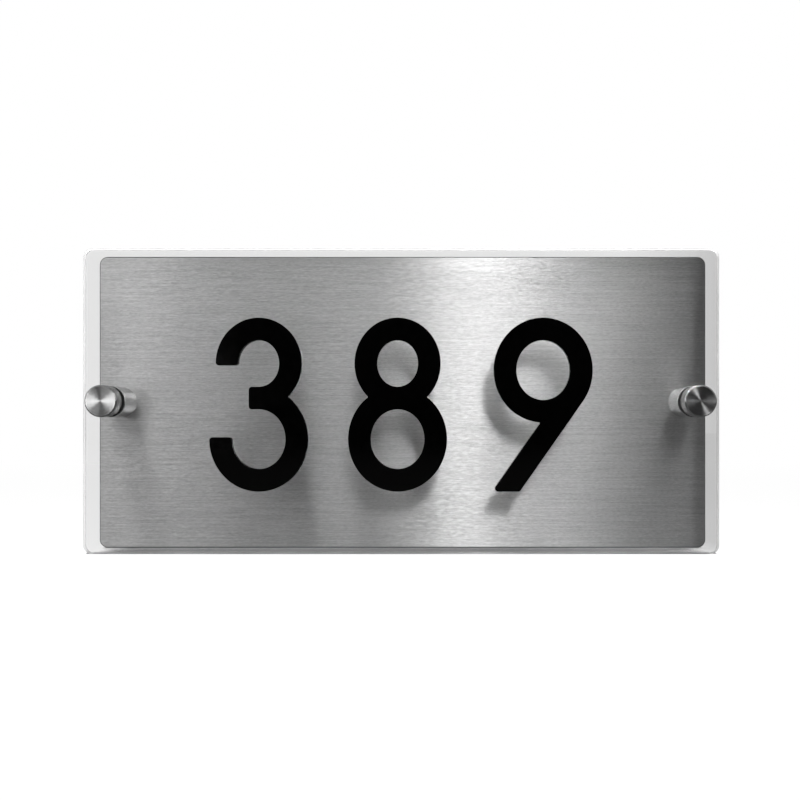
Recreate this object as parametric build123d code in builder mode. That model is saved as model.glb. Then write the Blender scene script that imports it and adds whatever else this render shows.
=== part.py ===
from build123d import *
import math
import os

# House number plaque: a clear front panel with raised numerals, held off a brushed steel plate.
# X runs to the viewer's right, Z runs up and Y runs into the wall.
# The origin is the middle of the back plate's rear face, which lies on the wall.
# Depths are measured out from the wall towards the viewer, and all sizes are in millimetres.

# Clear front panel
panel_width = 300.0
panel_height = 144.0
panel_thickness = 5.0
panel_corner_radius = 4.0
panel_edge_break = 0.15
panel_hole_clearance = 1.0

# Brushed back plate
plate_width = 300.0
plate_height = 144.0
plate_thickness = 1.5
plate_corner_radius = 4.0
plate_edge_break = 0.4
plate_hole_clearance = 1.0

# Raised numerals, drawn from a large bowl, a small bowl and one stroke
digit_stroke = 10.6
digit_thickness = 3.0
digit_edge_break = 0.2
large_bowl_width = 46.4
large_bowl_height = 49.2
small_bowl_width = 40.4
small_bowl_height = 43.0
terminal_radius = 1.5
crotch_radius = 0.4
terminal_overhang = 0.9  # how far the open ends of the 3 run past the middle of their bowls
bar_reach = 4.7  # how far the middle bar of the 3 runs left of its bowls' middle
leg_angle = 35.0  # slant of the 9's leg from upright, in degrees

# Layout of the numerals on the panel
digit_pitch = 66.7
middle_kern = -1.6  # the middle numeral sits a little left of the even pitch
number_drop = 1.6  # the numerals' middle sits a little below the panel's middle

# Stand-offs: a barrel on the wall side and a cap with its own stud on the front
fixing_inset = 11.0  # from the ends of the narrower sheet to the middle of a stand-off
standoff_diameter = 15.0
barrel_length = 18.0
barrel_base = 5.0
barrel_chamfer = 0.4
bore_lead_in = 0.5
cap_height = 7.5
cap_chamfer = 0.6
cap_rear_chamfer = 0.3
stud_diameter = 8.0
stud_clearance = 0.15
stud_end_gap = 5.0  # room left between the stud's end and the barrel's floor
stud_lead_in = 0.8
relief_length = 1.5
relief_depth = 0.6

# Rubber washers on both sides of the panel
washer_thickness = 1.0
washer_inset = 0.1
washer_clearance = 0.25
washer_edge_break = 0.2

# Countersunk wall screws inside the barrels
screw_diameter = 4.0
screw_neck_relief = 0.3
screw_hole_clearance = 0.25
screw_grip = 28.0  # how far the screw reaches into the wall
screw_tip = 6.0
head_clearance = 0.35
head_rim = 0.4
seat_clearance = 0.1
recess_span = 4.4
recess_slot = 1.2
recess_depth = 1.6

# Depths of the faces, from the wall outwards
barrel_floor = plate_thickness + barrel_base
barrel_front = plate_thickness + barrel_length
panel_back = barrel_front + washer_thickness
panel_front = panel_back + panel_thickness
cap_back = panel_front + washer_thickness
cap_front = cap_back + cap_height
stud_end = barrel_floor + stud_end_gap

# Radii that follow from the fits
standoff_radius = standoff_diameter / 2
stud_radius = stud_diameter / 2
bore_radius = stud_radius + stud_clearance
screw_radius = screw_diameter / 2
screw_hole_radius = screw_radius + screw_hole_clearance
neck_radius = screw_radius - screw_neck_relief
head_radius = bore_radius - head_clearance

# Heights inside a numeral, from its middle: the two bowls share one stroke where they meet
digit_height = large_bowl_height + small_bowl_height - digit_stroke
upper_bowl_middle = (digit_height - small_bowl_height) / 2
lower_bowl_middle = (large_bowl_height - digit_height) / 2
bar_middle = (large_bowl_height - digit_height / 2) - digit_stroke / 2
ring_middle = (digit_height - large_bowl_height) / 2

# Places of the two stand-offs, which pass through both sheets
fixing_spacing = min(panel_width, plate_width) - 2 * fixing_inset
fixings = ((-fixing_spacing / 2, 0), (fixing_spacing / 2, 0))


def facing(depth, x=0.0, z=0.0):
    """Plane that faces the viewer at a depth from the wall, with X to the right and Z up."""
    return Plane(origin=(x, -depth, z), x_dir=(1, 0, 0), z_dir=(0, -1, 0))


def turning(x):
    """Plane for a turned piece's half profile: radius across, depth from the wall upwards."""
    return Plane(origin=(x, 0, 0), x_dir=(1, 0, 0), z_dir=(0, 0, -1))


def turned(x, profile):
    """A closed half profile of (radius, depth) points, turned about the fixing at x."""
    with BuildPart() as piece:
        with BuildSketch(turning(x)):
            with BuildLine():
                Polyline(*profile, close=True)
            make_face()
        revolve(axis=Axis((x, 0, 0), (0, 1, 0)))
    return piece.part


def sheet(width, height, corner_radius, thickness, depth, hole_radius, edge_break):
    """A flat sheet with rounded corners, two fixing holes and broken outer edges."""
    with BuildPart() as blank:
        with BuildSketch(facing(depth)):
            RectangleRounded(width, height, corner_radius)
            with Locations(*fixings):
                Circle(hole_radius, mode=Mode.SUBTRACT)
        extrude(amount=thickness)
        rims = [face.outer_wire().edges() for face in blank.faces().filter_by(Axis.Y)]
        chamfer(rims, edge_break)
    return blank.part


def stacked_bowls(inset, mode):
    """Small bowl over large bowl, as in a 3 or an 8, drawn in from their outlines by the inset."""
    with Locations((0, upper_bowl_middle)):
        Ellipse(small_bowl_width / 2 - inset, small_bowl_height / 2 - inset, mode=mode)
    with Locations((0, lower_bowl_middle)):
        Ellipse(large_bowl_width / 2 - inset, large_bowl_height / 2 - inset, mode=mode)


def waist(outline):
    """Outer corners of an outline at the height where its two bowls meet."""
    reach = digit_stroke / 2
    level = outline.vertices().filter_by_position(Axis.Y, bar_middle - reach, bar_middle + reach)
    return level.filter_by(lambda corner: abs(corner.X) > reach)


def draw_three():
    """Stacked bowls, opened on the left between the two ends, with a short middle bar."""
    opening_top = upper_bowl_middle - terminal_overhang
    opening_bottom = lower_bowl_middle + terminal_overhang
    with BuildSketch() as outline:
        stacked_bowls(0, Mode.ADD)
        stacked_bowls(digit_stroke, Mode.SUBTRACT)
        with Locations((0, opening_bottom)):
            Rectangle(
                large_bowl_width,
                opening_top - opening_bottom,
                align=(Align.MAX, Align.MIN),
                mode=Mode.SUBTRACT,
            )
        with Locations((0, bar_middle)):
            Rectangle(bar_reach, digit_stroke, align=(Align.MAX, Align.CENTER))
        fillet(waist(outline).filter_by(lambda corner: corner.X > 0), crotch_radius)
        ends = outline.vertices().filter_by(lambda corner: corner.X < -bar_reach / 2)
        fillet(ends, terminal_radius)
    return outline.sketch


def draw_eight():
    """Two whole bowls, one on the other."""
    with BuildSketch() as outline:
        stacked_bowls(0, Mode.ADD)
        stacked_bowls(digit_stroke, Mode.SUBTRACT)
        fillet(waist(outline), crotch_radius)
    return outline.sketch


def draw_nine():
    """A ring with a straight leg that leaves it at a tangent and ends flat on the base line."""
    ring_x = large_bowl_width / 2
    ring_z = large_bowl_height / 2
    slant = math.radians(leg_angle)
    turn_angle = math.atan2(ring_z * math.sin(slant), ring_x * math.cos(slant))
    touch = Vector(ring_x * math.cos(turn_angle), ring_middle - ring_z * math.sin(turn_angle))
    inner = touch + Vector(-math.cos(slant), math.sin(slant)) * digit_stroke
    base = -digit_height / 2
    heel = Vector(touch.X - (touch.Y - base) * math.tan(slant), base)
    toe = Vector(inner.X - (inner.Y - base) * math.tan(slant), base)
    with BuildSketch() as outline:
        with Locations((0, ring_middle)):
            Ellipse(ring_x, ring_z)
        with BuildLine():
            Polyline(touch, heel, toe, inner, close=True)
        make_face()
        with Locations((0, ring_middle)):
            Ellipse(ring_x - digit_stroke, ring_z - digit_stroke, mode=Mode.SUBTRACT)
        fillet(outline.vertices().group_by(Axis.Y)[1], crotch_radius)
        fillet(outline.vertices().group_by(Axis.Y)[0], terminal_radius)
    return outline.sketch


def numeral(outline, place):
    """A numeral cut from black sheet, bonded to the panel at a place counted from the middle one."""
    x = place * digit_pitch + (middle_kern if place == 0 else 0)
    with BuildPart() as digit:
        with BuildSketch(facing(panel_front, x, -number_drop)):
            add(outline)
        extrude(amount=digit_thickness)
        chamfer(digit.faces().sort_by(Axis.Y)[0].edges(), digit_edge_break)
    return digit.part


def standoff_barrel(x):
    """Turned barrel with a bore for the cap's stud and a countersunk base for the wall screw."""
    sink_depth = head_radius - screw_hole_radius
    profile = [
        (screw_hole_radius, plate_thickness),
        (standoff_radius - barrel_chamfer, plate_thickness),
        (standoff_radius, plate_thickness + barrel_chamfer),
        (standoff_radius, barrel_front - barrel_chamfer),
        (standoff_radius - barrel_chamfer, barrel_front),
        (bore_radius + bore_lead_in, barrel_front),
        (bore_radius, barrel_front - bore_lead_in),
        (bore_radius, barrel_floor),
        (head_radius, barrel_floor),
        (screw_hole_radius, barrel_floor - sink_depth),
    ]
    return turned(x, profile)


def standoff_cap(x):
    """Turned cap with a chamfered rim and its stud, which has a thread relief under the cap."""
    relief_radius = stud_radius - relief_depth
    relief_end = cap_back - relief_length
    profile = [
        (0, cap_front),
        (standoff_radius - cap_chamfer, cap_front),
        (standoff_radius, cap_front - cap_chamfer),
        (standoff_radius, cap_back + cap_rear_chamfer),
        (standoff_radius - cap_rear_chamfer, cap_back),
        (relief_radius, cap_back),
        (relief_radius, relief_end),
        (stud_radius, relief_end - relief_depth),
        (stud_radius, stud_end + stud_lead_in),
        (stud_radius - stud_lead_in, stud_end),
        (0, stud_end),
    ]
    return turned(x, profile)


def washer(x, depth):
    """Flat rubber ring with broken outer edges."""
    with BuildPart() as ring:
        with BuildSketch(facing(depth, x)):
            Circle(standoff_radius - washer_inset)
            Circle(stud_radius + washer_clearance, mode=Mode.SUBTRACT)
        extrude(amount=washer_thickness)
        rims = [face.outer_wire().edges() for face in ring.faces().filter_by(Axis.Y)]
        chamfer(rims, washer_edge_break)
    return ring.part


def wall_screw(x):
    """Countersunk screw with a cross recess, a plain neck, a thread behind the plate and a point."""
    head_edge = barrel_floor + seat_clearance
    head_face = head_edge + head_rim
    profile = [
        (0, head_face),
        (head_radius, head_face),
        (head_radius, head_edge),
        (neck_radius, head_edge - (head_radius - neck_radius)),
        (neck_radius, 0),
        (screw_radius, 0),
        (screw_radius, screw_tip - screw_grip),
        (0, -screw_grip),
    ]
    with BuildPart() as screw:
        add(turned(x, profile))
        with BuildSketch(facing(head_face, x)):
            Rectangle(recess_span, recess_slot)
            Rectangle(recess_slot, recess_span)
        extrude(amount=-recess_depth, mode=Mode.SUBTRACT)
    return screw.part


pieces = {
    "front_panel": sheet(
        panel_width,
        panel_height,
        panel_corner_radius,
        panel_thickness,
        panel_back,
        stud_radius + panel_hole_clearance,
        panel_edge_break,
    ),
    "back_plate": sheet(
        plate_width,
        plate_height,
        plate_corner_radius,
        plate_thickness,
        0,
        screw_radius + plate_hole_clearance,
        plate_edge_break,
    ),
    "digit_3": numeral(draw_three(), -1),
    "digit_8": numeral(draw_eight(), 0),
    "digit_9": numeral(draw_nine(), 1),
}
for side, (x, _) in zip(("left", "right"), fixings):
    pieces[f"standoff_barrel_{side}"] = standoff_barrel(x)
    pieces[f"standoff_cap_{side}"] = standoff_cap(x)
    pieces[f"front_washer_{side}"] = washer(x, panel_front)
    pieces[f"rear_washer_{side}"] = washer(x, barrel_front)
    pieces[f"wall_screw_{side}"] = wall_screw(x)

os.makedirs("parts", exist_ok=True)
for name, piece in pieces.items():
    piece.label = name
    export_step(piece, f"parts/{name}.step")
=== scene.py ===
import math

import bmesh
import bpy
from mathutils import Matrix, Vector


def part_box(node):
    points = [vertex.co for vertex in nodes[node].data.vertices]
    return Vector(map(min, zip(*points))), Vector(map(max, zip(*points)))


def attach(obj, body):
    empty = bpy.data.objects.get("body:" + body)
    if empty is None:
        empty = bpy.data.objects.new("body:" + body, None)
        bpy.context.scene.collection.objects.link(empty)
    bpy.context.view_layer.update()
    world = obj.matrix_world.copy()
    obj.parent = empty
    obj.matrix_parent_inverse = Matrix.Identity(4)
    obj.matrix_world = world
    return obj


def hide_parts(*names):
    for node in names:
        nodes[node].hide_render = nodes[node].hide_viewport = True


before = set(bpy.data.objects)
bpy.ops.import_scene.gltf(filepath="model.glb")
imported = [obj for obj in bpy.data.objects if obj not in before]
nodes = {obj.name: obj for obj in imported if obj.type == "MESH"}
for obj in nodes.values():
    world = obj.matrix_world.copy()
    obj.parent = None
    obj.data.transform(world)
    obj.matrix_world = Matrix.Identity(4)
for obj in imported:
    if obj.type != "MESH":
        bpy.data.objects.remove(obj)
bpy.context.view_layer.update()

MM = 0.001
SIDES = ("left", "right")

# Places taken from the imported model, in metres
panel_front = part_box("front_panel")[0].y
plate_low, plate_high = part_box("back_plate")
floor_height = plate_low.z

# Camera: square on to the plaque, with the photograph's vanishing point off the picture's middle
image_side_px = 800.0
focal_px = 946.8
vanishing_px = (430.0, 420.0)
sensor_width_mm = 36.0
camera_distance = 446.6 * MM  # from the clear panel's front face
camera_right = 13.6 * MM
camera_height = -8.8 * MM
camera_clip = 10 * MM

# Soft lamps by name: place in metres, power in watts, width and height in metres. The keys draw the bright
# band on the steel. The windows and the side lamps light its ends and the stand-offs. The rim lamps light
# the edges from the sides, and the top lamps light the upper part of the steel from above.
lamps = {
    "key": (Vector((0.22, -1.2, 0.51)), 2.2, (0.15, 0.2)),
    "high_key": (Vector((0.23, -1.15, 0.66)), 0.65, (0.24, 0.2)),
    "window": (Vector((-0.43, -1.25, 0.43)), 0.45, (0.2, 0.22)),
    "low_window": (Vector((-0.46, -1.3, 0.04)), 0.5, (0.14, 0.08)),
    "left_side": (Vector((-0.85, -1.3, 0.03)), 2.8, (0.36, 0.3)),
    "right_side": (Vector((0.85, -1.2, 0.0)), 0.55, (0.3, 0.3)),
    "left_rim": (Vector((-1.2, -0.4, 0.4)), 2.5, (0.4, 0.9)),
    "right_rim": (Vector((1.2, -0.4, 0.4)), 1.5, (0.4, 0.9)),
    "high_top": (Vector((-0.16, -0.25, 0.5)), 0.6, (0.4, 0.2)),
    "left_top": (Vector((-0.01, -0.07, 0.15)), 0.19, (0.34, 0.06)),
    "right_top": (Vector((0.1, -0.07, 0.15)), 0.28, (0.28, 0.06)),
}

# The range of a noise's values, and the part of it in which most of them lie
noise_range = (0.0, 1.0)
noise_middle = (0.3, 0.7)

# Brushed sheet
steel_roughness = (0.375, 0.4)
steel_anisotropy = 1.0
steel_greys = (0.71, 0.47)  # beside its streaks and in them
# Near-black painted shade on the sheet's edges and edge breaks
steel_edge_painted_shade = 0.03
steel_shaded_edge_facing = (0.8, 0.95)  # how squarely it faces forwards or backwards where its painted edge shade gives way to its face
long_streak_size = (26 * MM, 2 * MM, 0.55 * MM)
short_streak_size = (1.8 * MM, 1 * MM, 0.45 * MM)
short_streak_share = 0.5
groove_size = (3 * MM, 1 * MM, 0.5 * MM)
groove_slope = 0.5
wander_slope = 0.02  # how much the short streaks lean to either side
steel_lean = 0.047  # how much the whole face leans out of true

# Turned steel
turned_side_roughness = (0.1, 0.14)
turned_end_roughness = (0.23, 0.28)
turned_end = (0.5, 0.9)  # how squarely it faces forwards or backwards where its side becomes its end
ring_scale = 14.0
ring_relief = 0.004 * MM
barrel_greys = (0.5, 0.62)
barrel_anisotropy = 0.3
# The caps' greys are a darker copy of the barrels' turned steel: painted shade that dims their highlights
cap_shaded_greys = (0.18, 0.36)
cap_anisotropy = 1.0

# Highlights of brushed and turned steel are turned by this share of a full turn, across the grooves
highlight_turn = 0.25

# Acrylic sheets, clear and black
acrylic_ior = 1.49
clear_grey = 0.93
clear_shadow_grey = 0.87  # what the clear sheet lets through of the lamps' light
edge_frost = 0.8  # the share of light that the clear sheet's cut edges scatter
frost_greys = (0.85, 1.0)
frost_facing = (0.2, 0.9)  # how squarely it faces forwards or backwards where the frost fades out
saw_mark_size = (0.4 * MM, 6 * MM, 0.4 * MM)
black_greys = (0.0004, 0.0008)
black_roughness = (0.06, 0.1)
black_specular = 0.15
mottle_size = (3 * MM, 3 * MM, 3 * MM)
wave_size = (2.5 * MM, 2.5 * MM, 2.5 * MM)
wave_relief = 0.003 * MM

# Rubber washers
rubber_ior = 1.5
rubber_specular = 0.3
rubber_greys = (0.008, 0.02)
rubber_roughness = (0.55, 0.8)
rubber_grain_size = (0.12 * MM, 0.12 * MM, 0.12 * MM)
rubber_relief = 0.02 * MM

# Zinc on the wall screws
zinc_dark = (0.5, 0.51, 0.53, 1.0)
zinc_light = (0.7, 0.71, 0.72, 1.0)
zinc_roughness = (0.22, 0.42)
cloud_size = (1.2 * MM, 1.2 * MM, 1.2 * MM)
zinc_relief = 0.008 * MM

# Wall screw with a real thread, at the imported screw's own sizes
screw_radius = 2.0 * MM
neck_radius = 1.7 * MM
head_rim = 0.4 * MM
recess_span = 4.4 * MM
recess_slot = 1.2 * MM
recess_depth = 1.6 * MM
tip_length = 6.0 * MM
thread_pitch = 1.8 * MM
thread_depth = 0.55 * MM
tip_depth_share = 0.3  # the most that the thread cuts into the tip, as a share of the tip's radius
ridge_half_width = 0.24  # as a share of the pitch
ridge_height = 1.3  # before its crest is cut flat at 1
rows_per_pitch = 16
screw_segments = 48
screw_angles = [math.tau * step / screw_segments for step in range(screw_segments)]
sharp_angle = math.radians(35)

# Surroundings: a white sweep behind the plaque and a dim room behind the camera
white_level = 1.0
room_level = 0.02
sweep_span = (-0.4, 0.1)  # the sweep fades in over these Y parts of a direction
sweep_rise = (-0.1, 0.6)  # and gains its white over these Z parts
sweep_low_level = 0.2  # its level near the floor
backdrop_shadow_levels = (0.9, 0.6)  # what the clear panel shows of it, at the plaque's left and right ends; the darker right end is a painted shadow of the plaque
backdrop_shadow_span = (0.2, 0.3)  # and the X parts of a direction between which the one turns into the other

# White floor: partly lit by the lamps, which gives it the plaque's shadow, dim where steel mirrors it, with
# painted shade near the sheets and a painted shadow to the right through the panel
floor_albedo = 0.15
floor_share = 0.12  # the lamps' share in its white
floor_mirrored_glow = 0.03
floor_front_fade = (-2.0, -0.33)  # the lamps' share fades in and out over these Y places
floor_back_fade = (0.1, 0.9)
floor_backdrop_shadow_span = (0.12, 0.16)  # the X places between which the panel's two backdrop levels meet, where the painted shadow sets in
floor_half_width = 4.0
gap_reach = 40 * MM  # how near the sheets stand where they shut the floor off from the white around them and its white is painted darker
gap_painted_shade_level = 0.0  # what is left of the white there, as painted shade
gap_shade_openness = (0.4, 0.5)  # the open share of the view upwards where it is that dark, and where it is white


def add(tree, kind, values=None, **settings):
    """A new node in a tree, with values for its inputs by name and settings for its own properties."""
    node = tree.nodes.new(kind)
    for name, setting in settings.items():
        setattr(node, name, setting)
    for name, value in (values or {}).items():
        node.inputs[name].default_value = value
    return node


def grey(level):
    """A neutral colour of one level."""
    return (level, level, level, 1.0)


def new_material(name):
    """An empty node material and its tree."""
    material = bpy.data.materials.new(name)
    material.use_nodes = True
    material.node_tree.nodes.clear()
    return material, material.node_tree


def principled(tree, **values):
    """A Principled shader joined to the material's output, with values for its inputs."""
    shader = add(tree, "ShaderNodeBsdfPrincipled", {k.replace("_", " "): v for k, v in values.items()})
    output = add(tree, "ShaderNodeOutputMaterial")
    tree.links.new(shader.outputs["BSDF"], output.inputs["Surface"])
    return shader


def spread(tree, source, low, high, source_range=noise_middle):
    """Maps a source's range to a range of values and stays within it."""
    node = add(tree, "ShaderNodeMapRange", {
        "From Min": source_range[0], "From Max": source_range[1], "To Min": low, "To Max": high,
    })
    tree.links.new(source, node.inputs["Value"])
    return node.outputs["Result"]


def blend_colour(tree, source, low, high):
    """A colour between two, by a noise's middle range."""
    ramp = add(tree, "ShaderNodeValToRGB")
    for element, position, colour in zip(ramp.color_ramp.elements, noise_middle, (low, high)):
        element.position = position
        element.color = colour
    tree.links.new(source, ramp.inputs["Fac"])
    return ramp.outputs["Color"]


def blend_grey(tree, source, low, high):
    """A grey between two levels, by a noise's middle range."""
    return blend_colour(tree, source, grey(low), grey(high))


def noise(tree, size, detail=2.0, offset=(0.0, 0.0, 0.0)):
    """Noise whose grains have a size in metres along X, Y and Z."""
    coords = add(tree, "ShaderNodeTexCoord")
    mapping = add(tree, "ShaderNodeMapping", {
        "Scale": [1.0 / side for side in size], "Location": offset,
    })
    texture = add(tree, "ShaderNodeTexNoise", {"Scale": 1.0, "Detail": detail})
    tree.links.new(coords.outputs["Object"], mapping.inputs["Vector"])
    tree.links.new(mapping.outputs["Vector"], texture.inputs["Vector"])
    return texture.outputs["Fac"]


def bump(tree, source, shader, height):
    """Relief of a height in metres on a shader."""
    node = add(tree, "ShaderNodeBump", {"Strength": 1.0, "Distance": height})
    tree.links.new(source, node.inputs["Height"])
    tree.links.new(node.outputs["Normal"], shader.inputs["Normal"])


def use(tree, value, socket):
    """Gives a number or another socket's value to a socket."""
    if isinstance(value, float):
        socket.default_value = value
    else:
        tree.links.new(value, socket)


def choose(tree, factor, off, on):
    """A mix of two values by a factor from 0 to 1. Each is a socket or a number."""
    node = add(tree, "ShaderNodeMix", data_type="FLOAT")
    use(tree, factor, node.inputs["Factor"])
    use(tree, off, node.inputs["A"])
    use(tree, on, node.inputs["B"])
    return node.outputs["Result"]


def combine(tree, operation, first, second):
    """Two values joined by a sum, difference, product or the like. Each is a socket or a number."""
    node = add(tree, "ShaderNodeMath", operation=operation)
    use(tree, first, node.inputs[0])
    use(tree, second, node.inputs[1])
    return node.outputs["Value"]


def facing(tree, normal="Normal"):
    """How squarely a surface faces forwards or backwards, from 0 to 1."""
    surface = add(tree, "ShaderNodeNewGeometry")
    parts = add(tree, "ShaderNodeSeparateXYZ")
    size = add(tree, "ShaderNodeMath", operation="ABSOLUTE")
    tree.links.new(surface.outputs[normal], parts.inputs["Vector"])
    tree.links.new(parts.outputs["Y"], size.inputs[0])
    return size.outputs["Value"]


def point_highlights(tree, shader, axis):
    """Takes the direction round an axis as the way in which a surface was brushed or turned."""
    tangent = add(tree, "ShaderNodeTangent", direction_type="RADIAL", axis=axis)
    tree.links.new(tangent.outputs["Tangent"], shader.inputs["Tangent"])


def sight(tree):
    """How a ray arrives: from the camera, through the clear panel, or mirrored. Each is 1 or 0."""
    path = add(tree, "ShaderNodeLightPath")
    mirrored = combine(tree, "MINIMUM", path.outputs["Glossy Depth"], 1.0)
    unmirrored = combine(tree, "SUBTRACT", 1.0, mirrored)
    through = combine(tree, "MULTIPLY", unmirrored, path.outputs["Is Transmission Ray"])
    return path.outputs["Is Camera Ray"], through, mirrored


def brushed_steel():
    """Sheet brushed along X: fine grooves that fan light up and down, streaks, a slight lean, and painted
    shade on its edges.
    """
    material, tree = new_material("brushed_steel_sheet")
    shader = principled(
        tree, Metallic=1.0, Anisotropic=steel_anisotropy, Anisotropic_Rotation=highlight_turn,
    )
    link = tree.links.new
    long_streaks = noise(tree, long_streak_size)
    short_streaks = noise(tree, short_streak_size, detail=1.0, offset=(3.1, 1.7, 5.3))
    streaks = choose(tree, short_streak_share, long_streaks, short_streaks)
    grooves = noise(tree, groove_size, detail=1.0, offset=(7.7, 2.9, 0.4))

    # Edges take the near-black colour: painted shade
    colour = add(tree, "ShaderNodeMix", {"A": grey(steel_edge_painted_shade)}, data_type="RGBA")
    link(spread(tree, facing(tree, "True Normal"), 0.0, 1.0, steel_shaded_edge_facing), colour.inputs["Factor"])
    link(blend_grey(tree, streaks, *steel_greys), colour.inputs["B"])
    link(colour.outputs["Result"], shader.inputs["Base Color"])
    link(spread(tree, streaks, *steel_roughness), shader.inputs["Roughness"])

    surface = add(tree, "ShaderNodeNewGeometry")
    slopes = add(tree, "ShaderNodeCombineXYZ")
    leaning = add(tree, "ShaderNodeVectorMath", operation="ADD")
    normal = add(tree, "ShaderNodeVectorMath", operation="NORMALIZE")
    wander = spread(tree, short_streaks, steel_lean - wander_slope, steel_lean + wander_slope)
    link(wander, slopes.inputs["X"])
    link(spread(tree, grooves, -groove_slope / 2, groove_slope / 2, noise_range), slopes.inputs["Z"])
    link(surface.outputs["Normal"], leaning.inputs[0])
    link(slopes.outputs["Vector"], leaning.inputs[1])
    link(leaning.outputs["Vector"], normal.inputs[0])
    link(normal.outputs["Vector"], shader.inputs["Normal"])
    point_highlights(tree, shader, "Z")
    return material


def turned_rings(tree):
    """Noise that changes with the distance from the middle and along Y, as a lathe's tool leaves it."""
    link = tree.links.new
    middle = (0.5, 0.5, 0.5)
    across = (1.0, 0.0, 1.0)
    coords = add(tree, "ShaderNodeTexCoord")
    centred = add(tree, "ShaderNodeVectorMath", {1: middle}, operation="SUBTRACT")
    flat = add(tree, "ShaderNodeVectorMath", {1: across}, operation="MULTIPLY")
    radius = add(tree, "ShaderNodeVectorMath", operation="LENGTH")
    parts = add(tree, "ShaderNodeSeparateXYZ")
    place = add(tree, "ShaderNodeCombineXYZ")
    rings = add(tree, "ShaderNodeTexNoise", {"Scale": ring_scale, "Detail": 2.0})
    link(coords.outputs["Generated"], centred.inputs[0])
    link(centred.outputs["Vector"], flat.inputs[0])
    link(flat.outputs["Vector"], radius.inputs[0])
    link(centred.outputs["Vector"], parts.inputs["Vector"])
    link(radius.outputs["Value"], place.inputs["X"])
    link(parts.outputs["Y"], place.inputs["Y"])
    link(place.outputs["Vector"], rings.inputs["Vector"])
    return rings.outputs["Fac"]


def turned_steel(name, greys, anisotropy):
    """Stock turned about Y: smooth sides, and ringed ends on which highlights fan out from the middle."""
    material, tree = new_material(name)
    shader = principled(tree, Metallic=1.0, Anisotropic=anisotropy, Anisotropic_Rotation=highlight_turn)
    link = tree.links.new
    rings = turned_rings(tree)
    end = spread(tree, facing(tree), 0.0, 1.0, turned_end)
    side_roughness = spread(tree, rings, *turned_side_roughness)
    end_roughness = spread(tree, rings, *turned_end_roughness)
    link(blend_grey(tree, rings, *greys), shader.inputs["Base Color"])
    link(choose(tree, end, side_roughness, end_roughness), shader.inputs["Roughness"])
    bump(tree, rings, shader, ring_relief)
    point_highlights(tree, shader, "Y")
    return material


def clear_acrylic():
    """Polished clear sheet with white frosted cut edges, which lets the lamps' light through."""
    material, tree = new_material("clear_acrylic_sheet")
    shader = principled(
        tree, Transmission_Weight=1.0, IOR=acrylic_ior, Base_Color=grey(clear_grey), Roughness=0.0,
    )
    output = tree.nodes["Material Output"]
    link = tree.links.new
    frosted = add(tree, "ShaderNodeBsdfTranslucent")
    lets_light = add(tree, "ShaderNodeBsdfTransparent", {"Color": grey(clear_shadow_grey)})
    path = add(tree, "ShaderNodeLightPath")
    sheet = add(tree, "ShaderNodeMixShader")
    either = add(tree, "ShaderNodeMixShader")
    saw_marks = noise(tree, saw_mark_size)
    link(blend_grey(tree, saw_marks, *frost_greys), frosted.inputs["Color"])
    link(spread(tree, facing(tree), edge_frost, 0.0, frost_facing), sheet.inputs["Fac"])
    link(shader.outputs["BSDF"], sheet.inputs[1])
    link(frosted.outputs["BSDF"], sheet.inputs[2])
    link(path.outputs["Is Shadow Ray"], either.inputs["Fac"])
    link(sheet.outputs["Shader"], either.inputs[1])
    link(lets_light.outputs["BSDF"], either.inputs[2])
    link(either.outputs["Shader"], output.inputs["Surface"])
    return material


def black_acrylic():
    """Polished black sheet with a faint unevenness in its gloss."""
    material, tree = new_material("black_acrylic_sheet")
    shader = principled(tree, IOR=acrylic_ior, Specular_IOR_Level=black_specular)
    link = tree.links.new
    mottle = noise(tree, mottle_size, detail=4.0)
    waves = noise(tree, wave_size, detail=1.0, offset=(1.3, 0.2, 4.1))
    link(blend_grey(tree, mottle, *black_greys), shader.inputs["Base Color"])
    link(spread(tree, mottle, *black_roughness), shader.inputs["Roughness"])
    bump(tree, waves, shader, wave_relief)
    return material


def black_rubber():
    """Matt rubber with a fine grain."""
    material, tree = new_material("black_rubber_ring")
    shader = principled(tree, IOR=rubber_ior, Specular_IOR_Level=rubber_specular)
    link = tree.links.new
    grain = noise(tree, rubber_grain_size, detail=4.0)
    link(blend_grey(tree, grain, *rubber_greys), shader.inputs["Base Color"])
    link(spread(tree, grain, *rubber_roughness), shader.inputs["Roughness"])
    bump(tree, grain, shader, rubber_relief)
    return material


def zinc_plate():
    """Bright zinc on rolled steel, a little blue and cloudy."""
    material, tree = new_material("zinc_plated_steel")
    shader = principled(tree, Metallic=1.0)
    link = tree.links.new
    cloud = noise(tree, cloud_size, detail=5.0)
    link(blend_colour(tree, cloud, zinc_dark, zinc_light), shader.inputs["Base Color"])
    link(spread(tree, cloud, *zinc_roughness), shader.inputs["Roughness"])
    bump(tree, cloud, shader, zinc_relief)
    return material


def dress(node_names, material):
    """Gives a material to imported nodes."""
    for name in node_names:
        nodes[name].material_slots[0].material = material


def thread_height(y, angle, start):
    """Height of the thread's ridge, from 0 at its root to 1 at its crest."""
    phase = ((y - start) / thread_pitch - angle / math.tau) % 1.0
    ridge = ridge_height * (1.0 - abs(phase - 0.5) / ridge_half_width)
    run_in = min(1.0, max(0.0, (y - start) / thread_pitch))
    return run_in * min(1.0, max(0.0, ridge))


def thread_radii(y, start, end):
    """Radii round the threaded length, which narrows to a point over its tip."""
    envelope = screw_radius * min(1.0, (end - y) / tip_length)
    depth = min(thread_depth, tip_depth_share * envelope)
    return [envelope - depth * (1.0 - thread_height(y, angle, start)) for angle in screw_angles]


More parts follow.
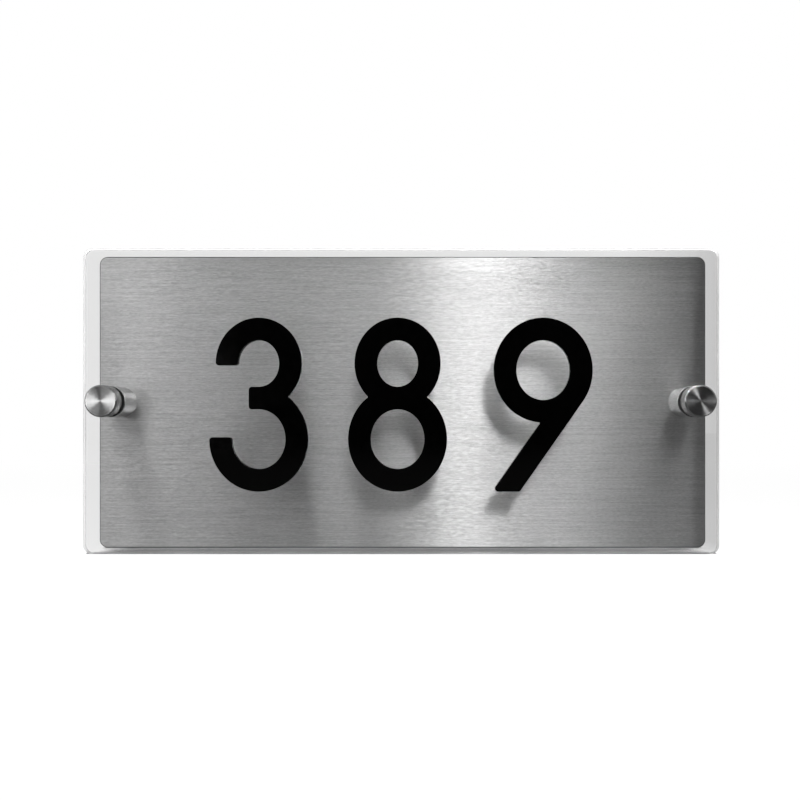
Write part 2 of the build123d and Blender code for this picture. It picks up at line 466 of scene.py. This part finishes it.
def add_ring(mesh, axis_x, y, radii):
    """A ring of points round a screw's axis, with a radius for each angle."""
    ring = []
    for angle, radius in zip(screw_angles, radii):
        x = axis_x + radius * math.cos(angle)
        z = radius * math.sin(angle)
        ring.append(mesh.verts.new((x, y, z)))
    return ring


def following(loop):
    """Each point of a closed loop with the one after it."""
    return zip(loop, loop[1:] + loop[:1])


def join_loops(mesh, first, second):
    """A wall of faces between two closed loops of as many points."""
    for (near, near_after), (far, far_after) in zip(following(first), following(second)):
        mesh.faces.new((near, far, far_after, near_after))


def cross_outline():
    """The cross recess's twelve corners as X and Z places about the screw's axis."""
    half_span = recess_span / 2
    half_slot = recess_slot / 2
    corners = []
    quarter = [(half_span, -half_slot), (half_span, half_slot), (half_slot, half_slot)]
    for _ in range(4):
        corners += quarter
        quarter = [(-z, x) for x, z in quarter]
    return corners


def add_head_face(mesh, rim, axis_x, y):
    """The head's flat face inside its rim, with a cross recess sunk into it."""
    corners = cross_outline()
    mouth = [mesh.verts.new((axis_x + x, y, z)) for x, z in corners]
    bottom = [mesh.verts.new((axis_x + x, y + recess_depth, z)) for x, z in corners]
    join_loops(mesh, mouth, bottom)
    mesh.faces.new(bottom)
    edges = [mesh.edges.get(pair) for loop in (rim, mouth) for pair in following(loop)]
    bmesh.ops.triangle_fill(mesh, edges=edges, use_beauty=True)


def threaded_screw(node):
    """Countersunk wall screw: recessed head, cone, neck, then a thread that runs out at the point."""
    low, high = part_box(node)
    axis_x = (low.x + high.x) / 2
    head_radius = (high.x - low.x) / 2
    cone_start = low.y + head_rim
    cone_end = cone_start + head_radius - neck_radius
    thread_start = plate_high.y
    thread_length = high.y - thread_start
    mesh = bmesh.new()

    plain_lengths = [
        (low.y, head_radius),
        (cone_start, head_radius),
        (cone_end, neck_radius),
        (thread_start - thread_depth, neck_radius),
    ]
    rings = [add_ring(mesh, axis_x, y, [radius] * screw_segments) for y, radius in plain_lengths]
    rows = int(thread_length / thread_pitch * rows_per_pitch)
    for row in range(rows):
        y = thread_start + thread_length * row / rows
        rings.append(add_ring(mesh, axis_x, y, thread_radii(y, thread_start, high.y)))
    for first, second in zip(rings, rings[1:]):
        join_loops(mesh, first, second)
    point = mesh.verts.new((axis_x, high.y, 0.0))
    for near, after in following(rings[-1]):
        mesh.faces.new((near, point, after))
    add_head_face(mesh, rings[0], axis_x, low.y)
    bmesh.ops.recalc_face_normals(mesh, faces=mesh.faces)

    data = bpy.data.meshes.new(node + "_threaded")
    mesh.to_mesh(data)
    mesh.free()
    data.shade_smooth()
    data.set_sharp_from_angle(angle=sharp_angle)
    screw = bpy.data.objects.new(node + "_threaded", data)
    bpy.context.scene.collection.objects.link(screw)
    return screw


def make_screws(material):
    """Puts a threaded screw in place of each plain packed one."""
    for side in SIDES:
        node = "wall_screw_" + side
        screw = threaded_screw(node)
        screw.data.materials.append(material)
        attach(screw, "root")
        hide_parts(node)


def floor_material():
    """White floor that keeps shadows: the lamps give part of its white, and the rest is added as seen, with
    painted shade near the sheets and, through the panel, a painted shadow to the right.
    """
    material, tree = new_material("white_floor")
    link = tree.links.new
    place = add(tree, "ShaderNodeNewGeometry")
    parts = add(tree, "ShaderNodeSeparateXYZ")
    paint = add(tree, "ShaderNodeBsdfDiffuse")
    glow = add(tree, "ShaderNodeEmission", {"Color": grey(1.0)})
    both = add(tree, "ShaderNodeAddShader")
    output = add(tree, "ShaderNodeOutputMaterial")
    link(place.outputs["Position"], parts.inputs["Vector"])
    in_front = spread(tree, parts.outputs["Y"], 0.0, 1.0, floor_front_fade)
    behind = spread(tree, parts.outputs["Y"], 1.0, 0.0, floor_back_fade)
    near = combine(tree, "MULTIPLY", in_front, behind)
    camera, through, mirrored = sight(tree)
    # Painted shadow: through the panel the floor is darker towards the right
    backdrop = spread(tree, parts.outputs["X"], *backdrop_shadow_levels, floor_backdrop_shadow_span)
    wanted = choose(tree, camera, backdrop, white_level)
    added = combine(tree, "SUBTRACT", wanted, combine(tree, "MULTIPLY", near, floor_share))
    # Painted shade: the added white darkens under and between the sheets by ambient occlusion
    openness = add(tree, "ShaderNodeAmbientOcclusion", {"Distance": gap_reach}).outputs["AO"]
    shaded = combine(tree, "MULTIPLY", added, spread(tree, openness, gap_painted_shade_level, 1.0, gap_shade_openness))
    straight = combine(tree, "MULTIPLY", shaded, combine(tree, "ADD", camera, through))
    reflected = combine(tree, "MULTIPLY", near, floor_mirrored_glow)
    link(combine(tree, "MULTIPLY", near, floor_albedo), paint.inputs["Color"])
    link(choose(tree, mirrored, straight, reflected), glow.inputs["Strength"])
    link(paint.outputs["BSDF"], both.inputs[0])
    link(glow.outputs["Emission"], both.inputs[1])
    link(both.outputs["Shader"], output.inputs["Surface"])
    material.cycles.emission_sampling = "NONE"
    return material


def make_floor():
    """A flat white floor at the height of the sheets' lower edges."""
    reach = floor_half_width
    corners = [
        (-reach, -reach, floor_height),
        (reach, -reach, floor_height),
        (reach, reach, floor_height),
        (-reach, reach, floor_height),
    ]
    data = bpy.data.meshes.new("floor")
    data.from_pydata(corners, [], [(0, 1, 2, 3)])
    floor = bpy.data.objects.new("floor", data)
    bpy.context.scene.collection.objects.link(floor)
    floor.data.materials.append(floor_material())


def make_world():
    """White to the camera, a pale backdrop through the panel that darkens to the right as a painted shadow,
    and else a white sweep and a dim room.
    """
    world = bpy.data.worlds.new("studio")
    bpy.context.scene.world = world
    world.use_nodes = True
    tree = world.node_tree
    tree.nodes.clear()
    link = tree.links.new
    coords = add(tree, "ShaderNodeTexCoord")
    parts = add(tree, "ShaderNodeSeparateXYZ")
    background = add(tree, "ShaderNodeBackground", {"Color": grey(1.0)})
    output = add(tree, "ShaderNodeOutputWorld")
    link(coords.outputs["Generated"], parts.inputs["Vector"])
    camera, through, _ = sight(tree)
    behind = spread(tree, parts.outputs["Y"], room_level, white_level, sweep_span)
    rising = spread(tree, parts.outputs["Z"], sweep_low_level, 1.0, sweep_rise)
    around = combine(tree, "MULTIPLY", behind, rising)
    # Painted shadow: through the panel the backdrop is darker towards the right
    backdrop = spread(tree, parts.outputs["X"], *backdrop_shadow_levels, backdrop_shadow_span)
    indirect = choose(tree, through, around, backdrop)
    link(choose(tree, camera, indirect, white_level), background.inputs["Strength"])
    link(background.outputs["Background"], output.inputs["Surface"])
    world.cycles.sampling_method = "NONE"


def make_lamp(name, place, power, size):
    """A soft lamp of a width and a height, aimed at the plaque's middle."""
    data = bpy.data.lights.new(name, "AREA")
    data.energy = power
    data.shape = "RECTANGLE"
    data.size, data.size_y = size
    data.cycles.use_multiple_importance_sampling = False
    lamp = bpy.data.objects.new(name, data)
    bpy.context.scene.collection.objects.link(lamp)
    lamp.location = place
    lamp.rotation_euler = (-place).to_track_quat("-Z", "Y").to_euler()
    lamp.visible_camera = False


def make_camera():
    """Level camera square on to the plaque, with a lens shift for the photograph's framing."""
    data = bpy.data.cameras.new("camera")
    data.sensor_width = sensor_width_mm
    data.lens = focal_px / image_side_px * sensor_width_mm
    data.shift_x = (image_side_px / 2 - vanishing_px[0]) / image_side_px
    data.shift_y = (vanishing_px[1] - image_side_px / 2) / image_side_px
    data.clip_start = camera_clip
    camera = bpy.data.objects.new("camera", data)
    bpy.context.scene.collection.objects.link(camera)
    camera.location = (camera_right, panel_front - camera_distance, camera_height)
    camera.rotation_euler = (math.radians(90), 0.0, 0.0)
    bpy.context.scene.camera = camera


barrels = ["standoff_barrel_" + side for side in SIDES]
caps = ["standoff_cap_" + side for side in SIDES]
washers = [piece + side for piece in ("front_washer_", "rear_washer_") for side in SIDES]
dress(["front_panel"], clear_acrylic())
dress(["back_plate"], brushed_steel())
dress(["digit_3", "digit_8", "digit_9"], black_acrylic())
dress(barrels, turned_steel("turned_steel_barrel", barrel_greys, barrel_anisotropy))
# The caps take the darker copy of the turned steel: painted shade
dress(caps, turned_steel("turned_steel_cap_darkened", cap_shaded_greys, cap_anisotropy))
dress(washers, black_rubber())
make_screws(zinc_plate())

make_floor()
make_world()
for name, (place, power, size) in lamps.items():
    make_lamp(name, place, power, size)
make_camera()
bpy.context.scene.view_settings.view_transform = "Standard"
